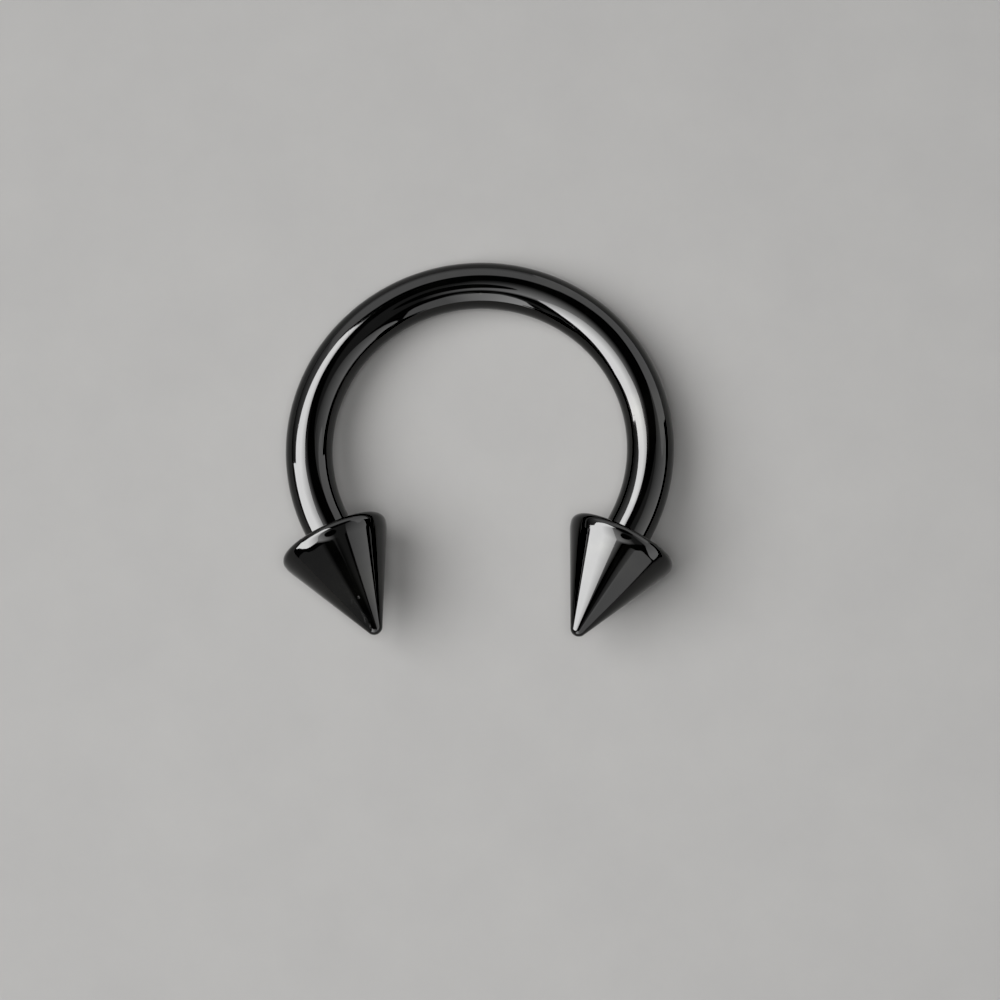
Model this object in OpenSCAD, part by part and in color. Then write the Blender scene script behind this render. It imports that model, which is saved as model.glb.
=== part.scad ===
// Horseshoe barbell: a round bar bent to most of a circle, with a cone screwed
// on each end. It lies on its side, on the rims of the two cones and the far
// side of its curve. X runs across the mouth, Y from the cones to the curve.
// The origin is on the surface, under the middle of the whole object.

/* [Bar] */
// Diameter of the bar
bar_d = 1.6; // [1:0.1:2.4]
// Inside diameter of the curve
inside_d = 10; // [8:0.5:14]
// How far the curve runs on past its widest line, in degrees on each side
past_widest = 26; // [10:1:35]
// Straight run of the bar from the curve to the cone
straight_l = 0.6; // [0.2:0.1:2]

/* [Cones] */
// Diameter of a cone at its widest
cone_d = 3.75; // [3:0.05:5]
// Length of a cone from base to tip
cone_l = 3.75; // [3:0.05:6]
// Radius of the rounded rim round the base
rim_r = 0.3; // [0.1:0.05:0.5]
// Radius of the rounded tip
tip_r = 0.28; // [0.1:0.02:0.5]

/* [Screw joint] */
// Pitch of the thread that the plain stud stands for
thread_pitch = 0.35; // [0.2:0.05:0.5]
// Length of the stud on each end of the bar
stud_l = 1.6; // [0.8:0.1:1.8]
// Clearance round the stud in its bore
stud_clearance = 0.03; // [0.01:0.01:0.06]
// Room in the bore past the end of the stud
bore_room = 0.15; // [0.05:0.05:0.3]
// Gap between the shoulder of the bar and the base of the cone
seat_gap = 0.02; // [0.01:0.01:0.1]

/* [Hidden] */
$fn = 96;
// How far a cut runs on past the face that it opens.
cut_past = 1;

bar_r = bar_d / 2;
curve_r = (inside_d + bar_d) / 2;

// The stud has the pitch diameter of a metric thread cut on the bar.
stud_r = (bar_d - 0.65 * thread_pitch) / 2;
bore_r = stud_r + stud_clearance;
bore_l = stud_l - seat_gap + bore_room;

// Centres of the rim's and the tip's circles, as [distance from the axis, height].
rim_centre = [cone_d / 2 - rim_r, rim_r];
tip_centre = [0, cone_l - tip_r];
// Half the angle of the cone, where its side touches both circles.
centres_apart = norm(tip_centre - rim_centre);
cone_half_angle = atan2(rim_centre[0], tip_centre[1] - rim_centre[1])
    + asin((rim_r - tip_r) / centres_apart);
side_normal = [cos(cone_half_angle), sin(cone_half_angle)];

// Distances along the bar's end, from the end of the curve to the cone's base
// and to the centre of its tip.
base_at = straight_l + seat_gap;
tip_at = base_at + tip_centre[1];
// How far below the middle of the curve the middle of the rim's circle and of
// the tip lie.
rim_below = curve_r * sin(past_widest) + (base_at + rim_r) * cos(past_widest);
tip_below = curve_r * sin(past_widest) + tip_at * cos(past_widest);

// At rest the two rims and the far side of the curve are level. The sine of the
// tilt solves reach * s + bar_r = rim_r + rim_centre[0] * sqrt(1 - (cos(past_widest) * s) ^ 2).
reach = curve_r + rim_below;
step_down = rim_r - bar_r;
square_term = pow(reach, 2) + pow(rim_centre[0] * cos(past_widest), 2);
tilt_sine = (reach * step_down
    + sqrt(pow(reach * step_down, 2) + square_term * (pow(rim_centre[0], 2) - pow(step_down, 2))))
    / square_term;
rest_tilt = asin(tilt_sine);
curve_height = curve_r * tilt_sine + bar_r;

// The two ends of the object along Y, from the middle of the curve.
far_y = curve_r * cos(rest_tilt) + bar_r;
tip_y = -tip_below * cos(rest_tilt) - tip_r;

// Lays what is modelled flat round the middle of the curve on the surface.
module at_rest() {
    translate([0, -(far_y + tip_y) / 2, curve_height])
        rotate([-rest_tilt, 0, 0])
            children();
}

// Puts the end of the curve at the origin, with the bar's way out along +Z.
// The side is 1 on the right and -1 on the left.
module at_end(side) {
    mirror([side < 0 ? 1 : 0, 0, 0])
        rotate([0, 0, -past_widest])
            translate([curve_r, 0, 0])
                rotate([90, 0, 0])
                    children();
}

// The curve of the bar, its straight ends and the studs on them.
module bar() {
    color("#18191b")
        at_rest() {
            rotate([0, 0, -past_widest])
                rotate_extrude(angle = 180 + 2 * past_widest)
                    translate([curve_r, 0])
                        circle(r = bar_r);
            for (side = [-1, 1])
                at_end(side) {
                    cylinder(r = bar_r, h = straight_l);
                    cylinder(r = stud_r, h = straight_l + stud_l);
                }
        }
}

// Half the outline of a cone, with its base on X and its axis on Y.
module cone_outline() {
    intersection() {
        union() {
            polygon([
                [0, 0],
                [rim_centre[0], 0],
                rim_centre + rim_r * side_normal,
                tip_centre + tip_r * side_normal,
                tip_centre
            ]);
            translate(rim_centre)
                circle(r = rim_r);
            translate(tip_centre)
                circle(r = tip_r);
        }
        translate([0, -cut_past])
            square([cone_d, cone_l + 2 * cut_past]);
    }
}

// A cone on one end of the bar, with the blind bore that takes the stud.
module cone(side) {
    color("#18191b")
        at_rest()
            at_end(side)
                translate([0, 0, base_at])
                    difference() {
                        rotate_extrude()
                            cone_outline();
                        translate([0, 0, -cut_past])
                            cylinder(r = bore_r, h = bore_l + cut_past);
                    }
}

module cone_left() cone(-1);
module cone_right() cone(1);

bar();
cone_left();
cone_right();
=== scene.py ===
# Horseshoe barbell with cone ends in black coated steel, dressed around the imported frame. Metres, Z up.
import math
import bpy
import bmesh
from mathutils import Matrix, Vector


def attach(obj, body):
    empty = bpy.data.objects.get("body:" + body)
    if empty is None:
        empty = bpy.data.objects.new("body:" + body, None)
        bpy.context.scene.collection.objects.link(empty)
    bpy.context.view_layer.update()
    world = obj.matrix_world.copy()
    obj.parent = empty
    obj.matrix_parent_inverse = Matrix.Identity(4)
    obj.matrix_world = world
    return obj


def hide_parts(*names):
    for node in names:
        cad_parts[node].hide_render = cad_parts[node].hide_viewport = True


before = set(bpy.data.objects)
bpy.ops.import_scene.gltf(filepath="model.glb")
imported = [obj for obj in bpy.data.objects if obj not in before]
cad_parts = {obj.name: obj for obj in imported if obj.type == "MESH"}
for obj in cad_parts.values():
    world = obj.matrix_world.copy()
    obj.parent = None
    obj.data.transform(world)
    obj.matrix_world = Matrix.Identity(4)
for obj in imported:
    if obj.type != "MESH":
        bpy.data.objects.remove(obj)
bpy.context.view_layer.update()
mm = 0.001


def hexToLinear(text):
    values = [int(text[i:i + 2], 16) / 255 for i in (1, 3, 5)]
    return [v / 12.92 if v <= 0.04045 else ((v + 0.055) / 1.055) ** 2.4 for v in values] + [1.0]


# Adds a node with its settings. A feed is a value for an input, or the node or socket that is linked to it.
def addNode(tree, kind, feeds=None, **settings):
    node = tree.nodes.new(kind)
    for name, value in settings.items():
        setattr(node, name, value)
    for key, feed in (feeds or {}).items():
        if isinstance(feed, bpy.types.Node):
            feed = next(out for out in feed.outputs if out.enabled)
        if isinstance(feed, bpy.types.NodeSocket):
            tree.links.new(feed, node.inputs[key])
        else:
            node.inputs[key].default_value = feed
    return node


# Starts a Geometry Nodes tree with a named input for each size, and gives its sockets.
def startTree(name, sizes):
    tree = bpy.data.node_groups.new(name, "GeometryNodeTree")
    tree.interface.new_socket("Geometry", in_out="OUTPUT", socket_type="NodeSocketGeometry")
    for label, value in sizes.items():
        kind = "NodeSocketInt" if isinstance(value, int) else "NodeSocketFloat"
        tree.interface.new_socket(label, in_out="INPUT", socket_type=kind)
    tree.interface.new_socket("Material", in_out="INPUT", socket_type="NodeSocketMaterial")
    return tree, addNode(tree, "NodeGroupInput").outputs


weldWithin = 1e-4  # millimetres, enough to close the seams and the poles


# Ends a tree: closes the mesh, shades it smooth but for creases past so many degrees, and gives its material.
def endTree(tree, size, shaped, creasePast):
    welded = addNode(tree, "GeometryNodeMergeByDistance", {"Geometry": shaped, "Distance": weldWithin})
    edge = addNode(tree, "GeometryNodeInputMeshEdgeAngle")
    soft = addNode(tree, "FunctionNodeCompare",
                   {0: edge.outputs["Unsigned Angle"], 1: math.radians(creasePast)},
                   data_type="FLOAT", operation="LESS_THAN")
    smooth = addNode(tree, "GeometryNodeSetShadeSmooth", {"Geometry": welded, "Shade Smooth": True})
    creased = addNode(tree, "GeometryNodeSetShadeSmooth",
                      {"Geometry": smooth, "Shade Smooth": soft}, domain="EDGE")
    real = addNode(tree, "GeometryNodeRealizeInstances", {"Geometry": creased})
    dressed = addNode(tree, "GeometryNodeSetMaterial", {"Geometry": real, "Material": size["Material"]})
    addNode(tree, "NodeGroupOutput", {0: dressed})


# Runs a tree once with its sizes, in millimetres, and leaves a plain mesh in place.
def growPiece(name, tree, sizes, material, place):
    piece = bpy.data.objects.new(name, bpy.data.meshes.new(name))
    bpy.context.scene.collection.objects.link(piece)
    modifier = piece.modifiers.new("shape", "NODES")
    modifier.node_group = tree
    values = {**sizes, "Material": material}
    for item in tree.interface.items_tree:
        if item.in_out == "INPUT":
            modifier[item.identifier] = values[item.name]
    shaped = piece.evaluated_get(bpy.context.evaluated_depsgraph_get())
    mesh = bpy.data.meshes.new_from_object(shaped)
    piece.modifiers.remove(modifier)
    mesh.transform(place @ Matrix.Scale(mm, 4))
    mesh.name = name
    piece.data = mesh
    print(name, "has", len(mesh.polygons), "faces")
    return piece


# Starts a material, and gives it with its empty tree.
def startMaterial(name):
    material = bpy.data.materials.new(name)
    material.use_nodes = True
    material.node_tree.nodes.clear()
    return material, material.node_tree


# The place on a piece in millimetres, so that a pattern is drawn at its real size.
def placeInMm(tree):
    where = addNode(tree, "ShaderNodeTexCoord").outputs["Object"]
    return addNode(tree, "ShaderNodeVectorMath", {0: where, "Scale": 1 / mm}, operation="SCALE")


# The sizes that the bar and the cones share, in millimetres and degrees, as in the part's source.
shape = {
    "barDiameter": 1.6,
    "insideDiameter": 10.0,
    "pastWidest": 26.0,  # how far the curve runs on past its widest line
    "straight": 0.6,
    "studDiameter": 1.3725,
    "studLength": 1.6,
    "threadPitch": 0.35,
    "seatGap": 0.02,
    "restTilt": 6.678,  # the curve leans on its far side and on the two rims
    "curveHeight": 1.4745,
    "shiftBack": 0.0521,
}
barRadius = shape["barDiameter"] / 2
studRadius = shape["studDiameter"] / 2
curveRadius = (shape["insideDiameter"] + shape["barDiameter"]) / 2
pastWidest = math.radians(shape["pastWidest"])
onFloor = (Matrix.Translation(Vector((0, -shape["shiftBack"], shape["curveHeight"])) * mm)
           @ Matrix.Rotation(-math.radians(shape["restTilt"]), 4, "X"))


# From a cone standing on its base to its place on the bar. The side is 1 on the right and -1 on the left.
def barEnd(side):
    out = Vector((-side * math.sin(pastWidest), -math.cos(pastWidest), 0))
    across = Vector((-out.y, out.x, 0))
    turn = Matrix((across, (0, 0, 1), out)).transposed().to_4x4()
    end = Vector((side * math.cos(pastWidest), -math.sin(pastWidest), 0)) * curveRadius
    seat = end + out * (shape["straight"] + shape["seatGap"])
    return onFloor @ Matrix.Translation(seat * mm) @ turn


# Surgical steel with a black vapour-deposited coating on a mirror polish: nearly black where it mirrors
# the dark, with crisp pale reflections, and the faint hairlines and dust of a small thing that was handled.
# Lengths and gaps are in millimetres. A hairline's width and a speck's size are shares of their gap, and
# "PerMm" counts a pattern's cells on a millimetre.
coating = {
    "colour": "#3f3f3f",
    "smudged": "#444443",
    "dust": "#504f4d",
    "edgeTint": 0.84,  # the coating mirrors a little less than bare metal near its edges
    "roughness": 0.035,
    "smudgeRoughness": 0.075,
    "hairlineRoughness": 0.08,  # added to what is there, as the dust's is
    "dustRoughness": 0.22,
    "smudgeSize": 3.0,  # a fingertip's mark breaks up at about 3 mm
    "smudgeFrom": 0.5,
    "smudgeTo": 0.75,
    "hairlineGap": 0.9,
    "hairlineWidth": 0.008,
    "hairlineDepth": 0.0003,
    "hairlineSquash": 0.22,  # along Y and Z, so that the lines run from front to back
    "hairlineTurn": (0.3, 0.5, 0.7),
    "bendPerMm": 0.35,
    "bendReach": 1.5,  # how far the hairlines wander
    "patchesPerMm": 0.9,  # hairlines stay only in patches
    "patchFrom": 0.59,
    "patchTo": 0.65,
    "waveSize": 1.6,  # slow polishing waves, as long as the bar is thick
    "waveDepth": 0.0009,
    "speckGap": 1.3,
    "speckSize": 0.03,  # dust is 10 to 30 microns across, and drawn at about 80 so that it shows
}
# The nicks that the photograph shows: place in millimetres, reach and depth.
nicks = [
    ((-3.90, -5.31, 2.88), 0.055, 0.008),
    ((-4.58, -4.91, 3.04), 0.07, 0.0008),
    ((-5.13, -4.58, 3.09), 0.06, 0.0008),
    ((4.10, -5.52, 2.79), 0.06, 0.002),
]


def coatedSteel(name):
    material, tree = startMaterial(name)
    inMm = placeInMm(tree)
    smudge = addNode(tree, "ShaderNodeTexNoise",
                     {"Vector": inMm, "Scale": 1 / coating["smudgeSize"], "Detail": 4.0, "Roughness": 0.6})
    smudged = addNode(tree, "ShaderNodeMapRange",
                      {"Value": smudge.outputs[0], "From Min": coating["smudgeFrom"],
                       "From Max": coating["smudgeTo"]}, interpolation_type="SMOOTHSTEP")
    # hairlines: the thin edges between the cells of a bent pattern, drawn out along Y and Z
    bend = addNode(tree, "ShaderNodeTexNoise", {"Vector": inMm, "Scale": coating["bendPerMm"], "Detail": 1.0})
    bent = addNode(tree, "ShaderNodeVectorMath",
                   {0: bend.outputs["Color"], "Scale": coating["bendReach"]}, operation="SCALE")
    drawn = addNode(tree, "ShaderNodeVectorMath", {0: inMm, 1: bent}, operation="ADD")
    turned = addNode(tree, "ShaderNodeMapping",
                     {"Vector": drawn, "Rotation": coating["hairlineTurn"],
                      "Scale": (1.0, coating["hairlineSquash"], coating["hairlineSquash"])})
    lines = addNode(tree, "ShaderNodeTexVoronoi",
                    {"Vector": turned, "Scale": 1 / coating["hairlineGap"]}, feature="DISTANCE_TO_EDGE")
    hairline = addNode(tree, "ShaderNodeMapRange",
                       {"Value": lines.outputs["Distance"], "From Max": coating["hairlineWidth"],
                        "To Min": 1.0, "To Max": 0.0})
    patchy = addNode(tree, "ShaderNodeTexNoise",
                     {"Vector": inMm, "Scale": coating["patchesPerMm"], "Detail": 2.0})
    kept = addNode(tree, "ShaderNodeMapRange",
                   {"Value": patchy.outputs[0], "From Min": coating["patchFrom"],
                    "From Max": coating["patchTo"]})
    scratch = addNode(tree, "ShaderNodeMath", {0: hairline, 1: kept}, operation="MULTIPLY")
    # dust: a round speck near the middle of some cells
    cells = addNode(tree, "ShaderNodeTexVoronoi",
                    {"Vector": inMm, "Scale": 1 / coating["speckGap"]}, feature="F1")
    speck = addNode(tree, "ShaderNodeMath", {0: cells.outputs["Distance"], 1: coating["speckSize"]},
                    operation="LESS_THAN")
    # the colour and the roughness of the plain, the smudged and the dusty coating
    colour = addNode(tree, "ShaderNodeMix", {0: smudged, 6: hexToLinear(coating["colour"]),
                                             7: hexToLinear(coating["smudged"])}, data_type="RGBA")
    dusted = addNode(tree, "ShaderNodeMix", {0: speck, 6: colour.outputs[2],
                                             7: hexToLinear(coating["dust"])}, data_type="RGBA")
    rough = addNode(tree, "ShaderNodeMapRange",
                    {"Value": smudged, "To Min": coating["roughness"], "To Max": coating["smudgeRoughness"]})
    scratchRough = addNode(tree, "ShaderNodeMath",
                           {0: scratch, 1: coating["hairlineRoughness"], 2: rough}, operation="MULTIPLY_ADD")
    speckRough = addNode(tree, "ShaderNodeMath",
                         {0: speck, 1: coating["dustRoughness"], 2: scratchRough}, operation="MULTIPLY_ADD")
    # the relief, in metres
    waves = addNode(tree, "ShaderNodeTexNoise",
                    {"Vector": inMm, "Scale": 1 / coating["waveSize"], "Detail": 1.0})
    waveHeight = addNode(tree, "ShaderNodeMath",
                         {0: waves.outputs[0], 1: coating["waveDepth"] * mm}, operation="MULTIPLY")
    height = addNode(tree, "ShaderNodeMath",
                     {0: scratch, 1: -coating["hairlineDepth"] * mm, 2: waveHeight}, operation="MULTIPLY_ADD")
    for place, reach, depth in nicks:
        away = addNode(tree, "ShaderNodeVectorMath", {0: inMm, 1: place}, operation="DISTANCE")
        dent = addNode(tree, "ShaderNodeMapRange",
                       {"Value": away.outputs["Value"], "From Max": reach,
                        "To Min": -depth * mm, "To Max": 0.0}, interpolation_type="SMOOTHSTEP")
        height = addNode(tree, "ShaderNodeMath", {0: height, 1: dent}, operation="ADD")
    bump = addNode(tree, "ShaderNodeBump", {"Height": height, "Strength": 1.0, "Distance": 1.0})
    shader = addNode(tree, "ShaderNodeBsdfPrincipled",
                     {"Base Color": dusted.outputs[2], "Metallic": 1.0, "Roughness": speckRough,
                      "Normal": bump, "Specular Tint": [coating["edgeTint"]] * 3 + [1.0]})
    addNode(tree, "ShaderNodeOutputMaterial", {"Surface": shader})
    return material


blackSteel = coatedSteel("black coated steel")

# The bar is one tube drawn over a grid: around it on X, along it on Y from one stud's end to the other's.
# Lengths are in millimetres, and angles in degrees here and in radians in the trees.
barDetail = {
    "threadDepth": 0.11,
    "crestTo": 0.06,  # in turns, where the flank between crest and trough starts and ends
    "troughFrom": 0.44,
    "plainTo": 0.02,  # past the shoulder, where the thread starts and where it has its full depth
    "fullFrom": 0.3,
    "endChamfer": 0.16,
    "shoulderWidth": 1e-4,
    "studRowsFrom": 0.76,  # in shares of the rows of half the bar
    "capRowsFrom": 0.9945,
    "creasePast": 50,
}
barSizes = {
    "Curve Radius": curveRadius,
    "Bar Radius": barRadius,
    "Past Widest": pastWidest,
    "Straight": shape["straight"],
    "Stud Radius": studRadius,
    "Stud Length": shape["studLength"],
    "Thread Pitch": shape["threadPitch"],
    "Thread Depth": barDetail["threadDepth"],
    "End Chamfer": barDetail["endChamfer"],
    "Points Round": 97,
    "Points Along": 661,
}


def barTree():
    tree, size = startTree("bar along its curve", barSizes)
    grid = addNode(tree, "GeometryNodeMeshGrid",
                   {"Size X": 1.0, "Size Y": 1.0, "Vertices X": size["Points Round"],
                    "Vertices Y": size["Points Along"]})
    spot = addNode(tree, "ShaderNodeSeparateXYZ", {0: addNode(tree, "GeometryNodeInputPosition")})
    angle = addNode(tree, "ShaderNodeMath", {0: spot.outputs["X"], 1: 2 * math.pi}, operation="MULTIPLY")
    side = addNode(tree, "ShaderNodeMath", {0: spot.outputs["Y"]}, operation="SIGN")
    fromMiddle = addNode(tree, "ShaderNodeMath", {0: spot.outputs["Y"]}, operation="ABSOLUTE")
    share = addNode(tree, "ShaderNodeMath", {0: fromMiddle, 1: 2.0}, operation="MULTIPLY")
    # where the half curve, the shoulder and the stud's end are along the bar
    halfTurn = addNode(tree, "ShaderNodeMath", {0: size["Past Widest"], 1: math.pi / 2}, operation="ADD")
    halfArc = addNode(tree, "ShaderNodeMath", {0: halfTurn, 1: size["Curve Radius"]}, operation="MULTIPLY")
    shoulder = addNode(tree, "ShaderNodeMath", {0: halfArc, 1: size["Straight"]}, operation="ADD")
    onBar = addNode(tree, "ShaderNodeMapRange",
                    {"Value": share, "From Max": barDetail["studRowsFrom"], "To Max": shoulder})
    onStud = addNode(tree, "ShaderNodeMapRange",
                     {"Value": share, "From Min": barDetail["studRowsFrom"],
                      "From Max": barDetail["capRowsFrom"], "To Max": size["Stud Length"]})
    run = addNode(tree, "ShaderNodeMath", {0: onBar, 1: onStud}, operation="ADD")
    along = addNode(tree, "ShaderNodeMath", {0: run, 1: side}, operation="MULTIPLY")
    # thread: a rounded wave that winds along the stud
    turns = addNode(tree, "ShaderNodeMath", {0: onStud, 1: size["Thread Pitch"]}, operation="DIVIDE")
    handed = addNode(tree, "ShaderNodeMath", {0: spot.outputs["X"], 1: side}, operation="MULTIPLY")
    wound = addNode(tree, "ShaderNodeMath", {0: handed, 1: turns}, operation="ADD")
    wave = addNode(tree, "ShaderNodeMath", {0: wound, 1: 0.5}, operation="PINGPONG")
    cut = addNode(tree, "ShaderNodeMapRange",
                  {"Value": wave, "From Min": barDetail["crestTo"], "From Max": barDetail["troughFrom"],
                   "To Min": 0.0, "To Max": size["Thread Depth"]})
    runIn = addNode(tree, "ShaderNodeMapRange",
                    {"Value": onStud, "From Min": barDetail["plainTo"], "From Max": barDetail["fullFrom"]})
    groove = addNode(tree, "ShaderNodeMath", {0: cut, 1: runIn}, operation="MULTIPLY")
    threaded = addNode(tree, "ShaderNodeMath", {0: size["Stud Radius"], 1: groove}, operation="SUBTRACT")
    left = addNode(tree, "ShaderNodeMath", {0: size["Stud Length"], 1: onStud}, operation="SUBTRACT")
    pointed = addNode(tree, "ShaderNodeMath", {0: size["Stud Radius"], 1: left}, operation="ADD")
    chamfered = addNode(tree, "ShaderNodeMath", {0: pointed, 1: size["End Chamfer"]}, operation="SUBTRACT")
    stud = addNode(tree, "ShaderNodeMath", {0: threaded, 1: chamfered}, operation="MINIMUM")
    isStud = addNode(tree, "ShaderNodeMath", {0: onStud, 1: barDetail["shoulderWidth"]},
                     operation="GREATER_THAN")
    radius = addNode(tree, "ShaderNodeMix", {0: isStud, 2: size["Bar Radius"], 3: stud}, data_type="FLOAT")
    closing = addNode(tree, "ShaderNodeMapRange",
                      {"Value": share, "From Min": barDetail["capRowsFrom"], "To Min": 1.0, "To Max": 0.0})
    closed = addNode(tree, "ShaderNodeMath", {0: radius, 1: closing}, operation="MULTIPLY")
    # the ring at each row, then its turn to where the curve has got to
    backHalf = addNode(tree, "ShaderNodeMath", {0: halfArc, 1: -1.0}, operation="MULTIPLY")
    onArc = addNode(tree, "ShaderNodeClamp", {"Value": along, "Min": backHalf, "Max": halfArc})
    past = addNode(tree, "ShaderNodeMath", {0: along, 1: onArc}, operation="SUBTRACT")
    turned = addNode(tree, "ShaderNodeMath", {0: onArc, 1: size["Curve Radius"]}, operation="DIVIDE")
    clockwise = addNode(tree, "ShaderNodeMath", {0: turned, 1: -1.0}, operation="MULTIPLY")
    cosine = addNode(tree, "ShaderNodeMath", {0: angle}, operation="COSINE")
    sine = addNode(tree, "ShaderNodeMath", {0: angle}, operation="SINE")
    outwards = addNode(tree, "ShaderNodeMath",
                       {0: closed, 1: cosine, 2: size["Curve Radius"]}, operation="MULTIPLY_ADD")
    upwards = addNode(tree, "ShaderNodeMath", {0: closed, 1: sine}, operation="MULTIPLY")
    flat = addNode(tree, "ShaderNodeCombineXYZ", {"X": past, "Y": outwards, "Z": upwards})
    swept = addNode(tree, "ShaderNodeVectorRotate",
                    {"Vector": flat, "Angle": clockwise}, rotation_type="Z_AXIS")
    tube = addNode(tree, "GeometryNodeSetPosition", {"Geometry": grid, "Position": swept})
    endTree(tree, size, tube, barDetail["creasePast"])
    return tree


bar = growPiece("coated_bar", barTree(), barSizes, blackSteel, onFloor)

# A cone is its outline of arcs and lines, turned round its axis. Polishing has eased the rim, so it runs
# into the side with a wider arc. Lengths are in millimetres, angles in degrees.
cone = {
    "diameter": 3.75,
    "length": 3.75,
    "rim": 0.26,
    "tip": 0.28,
    "easing": 1.1,
    "easedTurn": 16,
    "boreClearance": 0.03,
    "boreRoom": 0.15,
    "mouthChamfer": 0.05,
    "drillSlope": 0.3,
    "creasePast": 25,
}
coneSteps = {"tip": 24, "side": 48, "easing": 16, "rim": 40}
# the angle of the side is where one straight line touches the easing and the tip
easedTurn = math.radians(cone["easedTurn"])
rimAcross = cone["diameter"] / 2 - cone["rim"]
tipUp = cone["length"] - cone["tip"]
centresApart = math.hypot(rimAcross, tipUp - cone["rim"])
easedOut = (cone["easing"] - cone["rim"]) * (1 - math.cos(easedTurn))
sideAngle = (math.atan2(rimAcross, tipUp - cone["rim"])
             + math.asin((cone["rim"] + easedOut - cone["tip"]) / centresApart))
coneSizes = {
    "Rim Across": rimAcross,
    "Rim Radius": cone["rim"],
    "Easing Radius": cone["easing"],
    "Easing Angle": easedTurn,
    "Tip Up": tipUp,
    "Tip Radius": cone["tip"],
    "Side Angle": sideAngle,
    "Bore Radius": studRadius + cone["boreClearance"],
    "Bore Depth": shape["studLength"] - shape["seatGap"] + cone["boreRoom"],
    "Mouth Chamfer": cone["mouthChamfer"],
    "Points Round": 160,
}


def coneTree():
    tree, size = startTree("cone turned from its outline", coneSizes)
    quarter = math.pi / 2
    # the rounded tip, from the axis down to the side
    tipSweep = addNode(tree, "ShaderNodeMath", {0: size["Side Angle"], 1: quarter}, operation="SUBTRACT")
    tipArc = addNode(tree, "GeometryNodeCurveArc",
                     {"Resolution": coneSteps["tip"], "Radius": size["Tip Radius"],
                      "Start Angle": quarter, "Sweep Angle": tipSweep}, mode="RADIUS")
    tipAt = addNode(tree, "ShaderNodeCombineXYZ", {"Y": size["Tip Up"]})
    tip = addNode(tree, "GeometryNodeTransform", {"Geometry": tipArc, "Translation": tipAt})
    # the rounded rim, from where the easing ends down to the base
    rimAt = addNode(tree, "ShaderNodeCombineXYZ", {"X": size["Rim Across"], "Y": size["Rim Radius"]})
    rimFrom = addNode(tree, "ShaderNodeMath",
                      {0: size["Side Angle"], 1: size["Easing Angle"]}, operation="SUBTRACT")
    rimSweep = addNode(tree, "ShaderNodeMath", {0: rimFrom, 1: -1.0, 2: -quarter}, operation="MULTIPLY_ADD")
    rimArc = addNode(tree, "GeometryNodeCurveArc",
                     {"Resolution": coneSteps["rim"], "Radius": size["Rim Radius"],
                      "Start Angle": rimFrom, "Sweep Angle": rimSweep}, mode="RADIUS")
    rim = addNode(tree, "GeometryNodeTransform", {"Geometry": rimArc, "Translation": rimAt})
    # the wide arc that eases the side into the rim
    inX = addNode(tree, "ShaderNodeMath", {0: rimFrom}, operation="COSINE")
    inY = addNode(tree, "ShaderNodeMath", {0: rimFrom}, operation="SINE")
    inward = addNode(tree, "ShaderNodeCombineXYZ", {"X": inX, "Y": inY})
    wider = addNode(tree, "ShaderNodeMath",
                    {0: size["Rim Radius"], 1: size["Easing Radius"]}, operation="SUBTRACT")
    easingAt = addNode(tree, "ShaderNodeVectorMath", {0: inward, 1: wider, 2: rimAt},
                       operation="MULTIPLY_ADD")
    easingSweep = addNode(tree, "ShaderNodeMath", {0: size["Easing Angle"], 1: -1.0}, operation="MULTIPLY")
    easingArc = addNode(tree, "GeometryNodeCurveArc",
                        {"Resolution": coneSteps["easing"], "Radius": size["Easing Radius"],
                         "Start Angle": size["Side Angle"], "Sweep Angle": easingSweep}, mode="RADIUS")
    easing = addNode(tree, "GeometryNodeTransform", {"Geometry": easingArc, "Translation": easingAt})
    # the straight side between the tip and the easing
    outX = addNode(tree, "ShaderNodeMath", {0: size["Side Angle"]}, operation="COSINE")
    outY = addNode(tree, "ShaderNodeMath", {0: size["Side Angle"]}, operation="SINE")
    out = addNode(tree, "ShaderNodeCombineXYZ", {"X": outX, "Y": outY})
    sideTop = addNode(tree, "ShaderNodeVectorMath",
                      {0: out, 1: size["Tip Radius"], 2: tipAt}, operation="MULTIPLY_ADD")
    sideLow = addNode(tree, "ShaderNodeVectorMath",
                      {0: out, 1: size["Easing Radius"], 2: easingAt}, operation="MULTIPLY_ADD")
    straight = addNode(tree, "GeometryNodeCurvePrimitiveLine", {"Start": sideTop, "End": sideLow})
    side = addNode(tree, "GeometryNodeResampleCurve", {"Curve": straight, "Count": coneSteps["side"]})
    # the flat base, the mouth of the bore, its wall and its drilled end
    mouth = addNode(tree, "ShaderNodeMath", {0: size["Bore Radius"], 1: size["Mouth Chamfer"]},
                    operation="ADD")
    drillUp = addNode(tree, "ShaderNodeMath",
                      {0: size["Bore Radius"], 1: cone["drillSlope"], 2: size["Bore Depth"]},
                      operation="MULTIPLY_ADD")
    corners = [
        addNode(tree, "ShaderNodeCombineXYZ", {"X": size["Rim Across"]}),
        addNode(tree, "ShaderNodeCombineXYZ", {"X": mouth}),
        addNode(tree, "ShaderNodeCombineXYZ", {"X": size["Bore Radius"], "Y": size["Mouth Chamfer"]}),
        addNode(tree, "ShaderNodeCombineXYZ", {"X": size["Bore Radius"], "Y": size["Bore Depth"]}),
        addNode(tree, "ShaderNodeCombineXYZ", {"Y": drillUp}),
    ]
    lines = [addNode(tree, "GeometryNodeCurvePrimitiveLine", {"Start": a, "End": b})
             for a, b in zip(corners, corners[1:])]
    outline = addNode(tree, "GeometryNodeJoinGeometry")
    for part in (tip, side, easing, rim, *lines):
        tree.links.new(part.outputs[0], outline.inputs[0])
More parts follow.
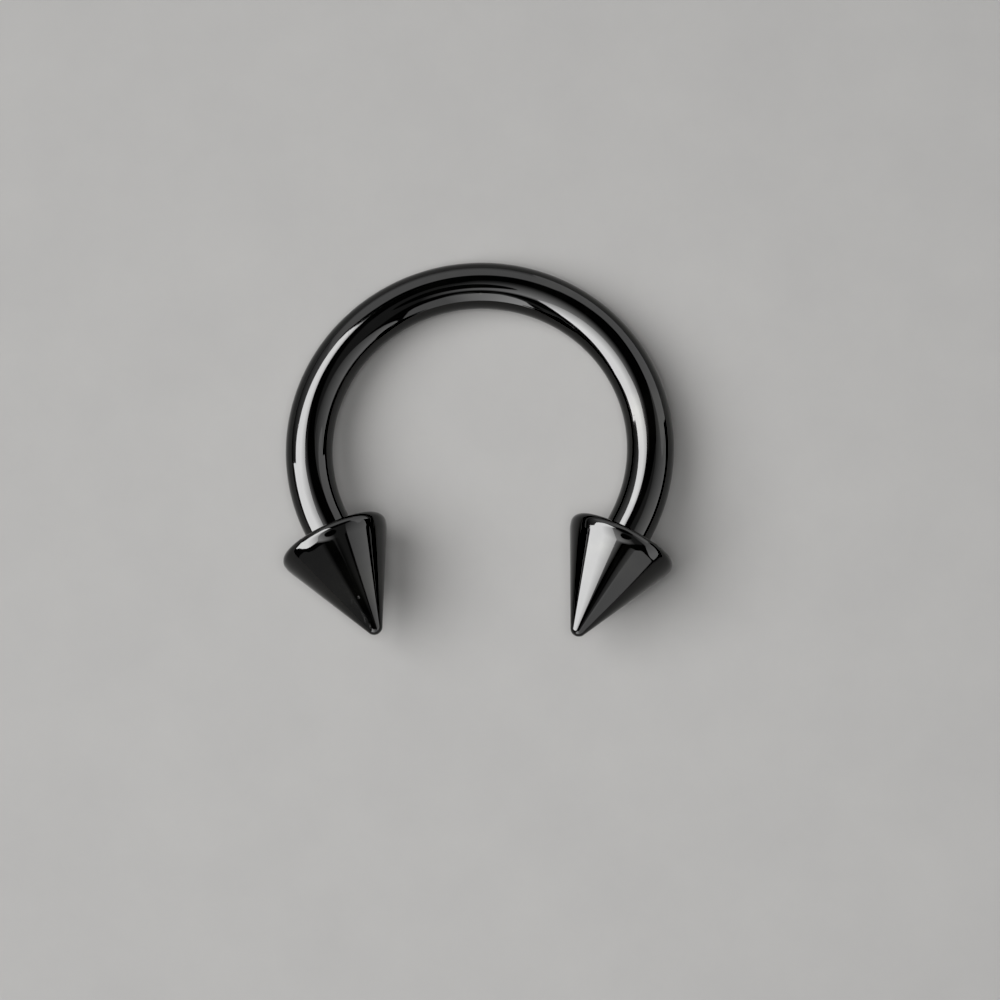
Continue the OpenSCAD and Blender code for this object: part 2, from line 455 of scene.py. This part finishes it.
    # one turn on a ring of radius 1, so the outline is moved in by as much
    ring = addNode(tree, "GeometryNodeCurvePrimitiveCircle",
                   {"Resolution": size["Points Round"], "Radius": 1.0})
    movedIn = addNode(tree, "GeometryNodeTransform", {"Geometry": outline, "Translation": (-1.0, 0.0, 0.0)})
    turned = addNode(tree, "GeometryNodeCurveToMesh", {"Curve": ring, "Profile Curve": movedIn})
    upright = addNode(tree, "GeometryNodeTransform", {"Geometry": turned, "Rotation": (math.pi, 0.0, 0.0)})
    facing = addNode(tree, "GeometryNodeFlipFaces", {"Mesh": upright})
    endTree(tree, size, facing, cone["creasePast"])
    return tree


coneTurned = coneTree()
coneLeft = growPiece("coated_cone_left", coneTurned, coneSizes, blackSteel, barEnd(-1))
coneRight = growPiece("coated_cone_right", coneTurned, coneSizes, blackSteel, barEnd(1))

for piece, node in ((bar, "bar"), (coneLeft, "cone_left"), (coneRight, "cone_right")):
    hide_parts(node)
    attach(piece, node)

# Matt white card under even light: a pale grey with a faint soft mottle and no grain at this distance.
floor = {
    "colour": "#cac9c7",
    "darker": "#bfbebd",
    "roughness": 0.9,
    "mottleSize": 4.0,  # millimetres
    "reach": 0.4,
}


def cardFloor():
    material, tree = startMaterial("matt white card")
    mottle = addNode(tree, "ShaderNodeTexNoise",
                     {"Vector": placeInMm(tree), "Scale": 1 / floor["mottleSize"],
                      "Detail": 6.0, "Roughness": 0.65})
    colour = addNode(tree, "ShaderNodeMix", {0: mottle.outputs[0], 6: hexToLinear(floor["darker"]),
                                             7: hexToLinear(floor["colour"])}, data_type="RGBA")
    shader = addNode(tree, "ShaderNodeBsdfPrincipled",
                     {"Base Color": colour.outputs[2], "Roughness": floor["roughness"],
                      "Specular IOR Level": 0.0})
    addNode(tree, "ShaderNodeOutputMaterial", {"Surface": shader})
    reach = floor["reach"]
    mesh = bpy.data.meshes.new("card")
    mesh.from_pydata([(-reach, -reach, 0), (reach, -reach, 0), (reach, reach, 0), (-reach, reach, 0)],
                     [], [(0, 1, 2, 3)])
    mesh.materials.append(material)
    card = bpy.data.objects.new("card", mesh)
    bpy.context.scene.collection.objects.link(card)


cardFloor()
print("card laid")

# The studio is a light tent with gaps between its cloths, which the metal mirrors. Each cloth hangs square
# to a line out from the object: azimuth is counted from +X, polar from straight up, and corners are in
# shares of the distance, right and up. Its glow runs from one value to the other along its ramp, at the
# angle of "turn". "rising" and "fade" soften a lower edge.
cloths = {
    "key": dict(
        azimuth=185, polar=55, distance=0.095, glow=(12.4, 5.6), ramp=(0.1, 0.6), turn=90, rising=0.2,
        corners=[(-.62, .27), (-.57, .5), (-.5, .6), (0, .62), (.28, .62), (.5, .79), (.7, .94), (.76, 1.08),
                 (.8, 1.17), (.86, 1.02), (.95, .78), (1.0, .56), (.98, .4), (.83, .23), (.6, .03),
                 (.45, -.11), (.36, -.17), (.28, -.21), (.274, -.465), (.22, -.43), (.05, -.46),
                 (-.15, -.54), (-.32, -.38), (-.5, -.19), (-.61, 0), (-.63, .1)]),
    "overhead": dict(
        azimuth=270, polar=0, distance=0.110, glow=(0.32, 2.8), ramp=(-0.06, 0.47), turn=-28,
        fade=(-0.69, -0.5),
        corners=[(.07, .385), (.13, .42), (.3, .4), (.6, .3), (.7, 0), (.7, -.5), (.6, -.7), (-.05, -.69),
                 (-.2, -.6), (-.74, -.58), (-.78, -.5), (-.79, -.3), (-.8, -.1), (-.75, .1), (-.72, .4),
                 (-.6, .45), (-.5, .42), (-.35, .33), (-.25, .26), (-.1, .22), (.02, .2)]),
    "front": dict(
        azimuth=270, polar=60, distance=0.100, glow=(1.3, 4.2), ramp=(-0.25, 0.42), turn=0,
        corners=[(-.58, .14), (-.5, .22), (.18, .22), (.32, .115), (.42, 0), (.47, -.15), (.54, -.3),
                 (.62, -.5), (.62, -.62), (-.86, -.62), (-.82, -.42), (-.76, -.25), (-.68, -.08),
                 (-.62, .04)]),
    "frontLeft": dict(
        azimuth=270, polar=60, distance=0.098, glow=(0.2, 0.41), ramp=(0.06, 0.2), turn=0,
        corners=[(.05, .33), (.13, .28), (.21, .22), (.31, .13), (.43, .02), (.58, -.14), (.68, -.3),
                 (.8, -.62), (1.2, -.62), (1.1, -.3), (.9, -.04), (.75, .0), (.62, -.02), (.5, .07),
                 (.38, .18), (.28, .27), (.2, .335), (.12, .39), (.05, .42)]),
    "frontTop": dict(
        azimuth=270, polar=60, distance=0.102, glow=(0.8, 0.45), ramp=(-0.22, -0.06), turn=0,
        corners=[(-.3, .2), (-.22, .26), (-.12, .32), (-.03, .34), (.02, .31), (-.06, .24), (-.1, .2)]),
    "right": dict(
        azimuth=0, polar=60, distance=0.090, glow=(2.0, 0.58), ramp=(-0.455, 0.54), turn=115,
        corners=[(-.42, -.28), (-.25, -.1), (-.25, 0), (-.33, .1), (-.5, .2), (-.6, .27), (-.55, .45),
                 (-.3, .55), (0, .48), (.17, .4), (.37, .3), (.63, .2), (.8, .1), (.95, 0), (1.07, -.12),
                 (1.15, -.26), (1.2, -.43), (-.15, -.43), (-.3, -.37)]),
    # The next two cloths have no glow. They are black sheets that the metal mirrors as a dark band between
    # the right cloth and the floor: painted shade standing in for a shaded gap.
    "rightShadeSheet": dict(
        azimuth=0, polar=60, distance=0.085, glow=(0.0, 0.0), ramp=(0, 1), turn=0,
        corners=[(-.44, -.62), (-.44, -.3), (-.3, -.38), (-.15, -.44), (.7, -.44), (.8, -.62)]),
    "rightLowShadeSheet": dict(
        azimuth=0, polar=90, distance=0.031, glow=(0.0, 0.0), ramp=(0, 1), turn=0,
        corners=[(.6, -.04), (.6, .11), (-.13, .11), (-.27, .14), (-.38, .21), (-.38, -.04)]),
    "corner": dict(
        azimuth=40, polar=60, distance=0.105, glow=(1.35, 1.85), ramp=(-0.2, 0.45), turn=0,
        corners=[(-1.2, -.62), (-.9, .4), (-.65, .4), (-.56, .29), (-.45, .17), (-.36, .1), (-.28, .08),
                 (-.2, .11), (-.1, .14), (.1, .125), (.27, .1), (.4, .02), (.5, -.1), (.5, -.62)]),
    "high": dict(
        azimuth=40, polar=60, distance=0.115, glow=(0.62, 0.62), ramp=(0, 1), turn=0,
        corners=[(-.12, .05), (-.07, .16), (-.01, .31), (.04, .43), (.16, .49), (.35, .59), (.46, .64),
                 (.55, .3), (.5, -.1), (.2, -.05)]),
    "back": dict(
        azimuth=85, polar=60, distance=0.090, glow=(0.7, 1.33), ramp=(-1.4, -0.8), turn=0,
        fade=(-0.78, -0.25),
        corners=[(-2.0, -.62), (-2.0, .5), (-1.7, .5), (-1.4, .44), (-1.1, .37), (-.8, .28), (-.6, .24),
                 (-.5, .31), (-.35, .36), (-.15, .3), (.1, .19), (.1, -.62)]),
    "left": dict(
        azimuth=135, polar=60, distance=0.100, glow=(0.45, 1.0), ramp=(-0.6, 0.1), turn=0,
        fade=(-0.85, -0.1),
        corners=[(-1.3, -.62), (-1.3, -.33), (-.9, -.27), (-.75, -.25), (-.65, -.19), (-.58, -.1),
                 (-.45, -.05), (-.3, 0), (-.15, .04), (0, .09), (.03, .1), (.03, -.62)]),
}
hungAround = Vector((0, 0, mm))  # about the middle of the object
lensFront = dict(azimuth=287, polar=9.9, distance=0.100, width=0.225, height=0.18, cornerEvery=15)
room = dict(radius=0.6, subdivisions=3)
dimGlow = 0.18  # of the lens and of the room


# Directions outward, rightward and upward for something that hangs square to a line out from the object.
def hangFrame(azimuth, polar):
    azimuth, polar = math.radians(azimuth), math.radians(polar)
    outward = Vector((math.cos(azimuth) * math.sin(polar), math.sin(azimuth) * math.sin(polar),
                      math.cos(polar)))
    rightward = Vector((math.sin(azimuth), -math.cos(azimuth), 0))
    return outward, rightward, rightward.cross(outward)


# Puts up what only the metal shows, so that the floor keeps its own plain light.
def onlyMirrored(name, mesh, material):
    mesh.materials.append(material)
    thing = bpy.data.objects.new(name, mesh)
    thing.visible_camera = False
    thing.visible_diffuse = False
    thing.visible_shadow = False
    bpy.context.scene.collection.objects.link(thing)


def plainGlow(name, strength):
    material, tree = startMaterial(name)
    light = addNode(tree, "ShaderNodeEmission", {"Strength": strength})
    addNode(tree, "ShaderNodeOutputMaterial", {"Surface": light})
    return material


# Hangs a flat cloth square to its line out from the object.
def hangCloth(name, spec, material):
    outward, rightward, upward = hangFrame(spec["azimuth"], spec["polar"])
    cloth = bmesh.new()
    points = [cloth.verts.new(hungAround + (outward + rightward * x + upward * y) * spec["distance"])
              for x, y in spec["corners"]]
    face = cloth.faces.new(points)
    flat = cloth.loops.layers.uv.new("cloth")
    for loop, (x, y) in zip(face.loops, spec["corners"]):
        loop[flat].uv = (x, y)
    bmesh.ops.triangulate(cloth, faces=[face])
    mesh = bpy.data.meshes.new(name)
    cloth.to_mesh(mesh)
    cloth.free()
    onlyMirrored(name, mesh, material)


def glowingCloth(name, spec):
    material, tree = startMaterial("glowing tent cloth " + name)
    spot = addNode(tree, "ShaderNodeUVMap", uv_map="cloth")
    turn = math.radians(spec["turn"])
    along = addNode(tree, "ShaderNodeVectorMath", {0: spot, 1: (math.cos(turn), math.sin(turn), 0)},
                    operation="DOT_PRODUCT").outputs["Value"]
    if "rising" in spec:  # the ramp moves up with the cloth's right-hand side
        slanted = addNode(tree, "ShaderNodeVectorMath", {0: spot, 1: (-1.0, 1.0, 0)},
                          operation="DOT_PRODUCT")
        lifted = addNode(tree, "ShaderNodeMath", {0: slanted.outputs["Value"], 1: spec["rising"]},
                         operation="ADD")
        along = addNode(tree, "ShaderNodeMath", {0: along, 1: lifted}, operation="MINIMUM")
    glow = addNode(tree, "ShaderNodeMapRange",
                   {"Value": along, "From Min": spec["ramp"][0], "From Max": spec["ramp"][1],
                    "To Min": spec["glow"][0], "To Max": spec["glow"][1]})
    if "fade" in spec:  # it comes in softly from its lower edge
        height = addNode(tree, "ShaderNodeSeparateXYZ", {0: spot})
        fade = addNode(tree, "ShaderNodeMapRange",
                       {"Value": height.outputs["Y"], "From Min": spec["fade"][0],
                        "From Max": spec["fade"][1]})
        glow = addNode(tree, "ShaderNodeMath", {0: glow, 1: fade}, operation="MULTIPLY")
    light = addNode(tree, "ShaderNodeEmission", {"Strength": glow})
    addNode(tree, "ShaderNodeOutputMaterial", {"Surface": light})
    return material


for clothName, spec in cloths.items():
    hangCloth("cloth_" + clothName, spec, glowingCloth(clothName, spec))

# The camera's own dark lens, drawn as an ellipse, which the metal mirrors too.
around = [math.radians(a) for a in range(0, 360, lensFront["cornerEvery"])]
lensFront["corners"] = [(lensFront["width"] * math.cos(a), lensFront["height"] * math.sin(a))
                        for a in around]
hangCloth("dark_lens", lensFront, plainGlow("matt black lens", dimGlow))

# The dim room behind the cloths.
walls = bmesh.new()
bmesh.ops.create_icosphere(walls, subdivisions=room["subdivisions"], radius=room["radius"])
roomMesh = bpy.data.meshes.new("room")
walls.to_mesh(roomMesh)
walls.free()
onlyMirrored("room", roomMesh, plainGlow("dim room", dimGlow))

# Plain soft light for the floor and its shadows, which the metal doesn't mirror. Metres and watts.
lamps = {
    "side": dict(azimuth=183, polar=37.5, distance=0.4, size=0.406, power=1.38),
    "byCamera": dict(azimuth=287, polar=9.5, distance=0.092, size=0.03, power=0.0202),
    "sky": dict(azimuth=0, polar=0, distance=0.5, size=1.0, power=0.30),
}
for lampName, spec in lamps.items():
    lamp = bpy.data.lights.new("soft light " + lampName, "AREA")
    lamp.shape = "DISK"
    lamp.size = spec["size"]
    lamp.energy = spec["power"]
    stand = bpy.data.objects.new(lampName, lamp)
    outward = hangFrame(spec["azimuth"], spec["polar"])[0]
    stand.location = outward * spec["distance"]
    stand.rotation_mode = "QUATERNION"
    stand.rotation_quaternion = outward.to_track_quat("Z", "Y")
    stand.visible_glossy = False
    bpy.context.scene.collection.objects.link(stand)
print("studio set up")

# A pale backdrop beyond the card, for the camera alone.
backdrop = "#b4b4b4"
world = bpy.data.worlds.new("pale backdrop")
bpy.context.scene.world = world
world.use_nodes = True
world.node_tree.nodes.clear()
pale = addNode(world.node_tree, "ShaderNodeBackground", {"Color": hexToLinear(backdrop), "Strength": 1.0})
addNode(world.node_tree, "ShaderNodeOutputWorld", {"Surface": pale})
world.cycles_visibility.diffuse = False
world.cycles_visibility.glossy = False

# The camera stands nearly overhead, a little to the front, as in the photograph.
view = {
    "place": (3.8478, -13.5983, 90.1667),  # millimetres
    "right": (0.99937, 0.01118, -0.03361),
    "back": (0.03478, -0.13123, 0.99074),
    "focalLength": 95.14,
    "sensorWidth": 36.0,
    "shift": (-0.0005, 0.0005),
    "clip": (0.001, 10.0),
}
lens = bpy.data.cameras.new("camera")
lens.lens = view["focalLength"]
lens.sensor_width = view["sensorWidth"]
lens.shift_x, lens.shift_y = view["shift"]
lens.clip_start, lens.clip_end = view["clip"]
camera = bpy.data.objects.new("camera", lens)
backOf = Vector(view["back"])
upOf = backOf.cross(Vector(view["right"])).normalized()
rightOf = upOf.cross(backOf).normalized()
camera.matrix_world = (Matrix.Translation(Vector(view["place"]) * mm)
                       @ Matrix((rightOf, upOf, backOf.normalized())).transposed().to_4x4())
bpy.context.scene.collection.objects.link(camera)
bpy.context.scene.camera = camera

# A plain display curve with the photograph's deep blacks.
blackLevel = 0.0085
display = bpy.context.scene.view_settings
display.view_transform = "Standard"
display.use_curve_mapping = True
display.curve_mapping.black_level = (blackLevel, blackLevel, blackLevel)
display.curve_mapping.update()
print("camera set")
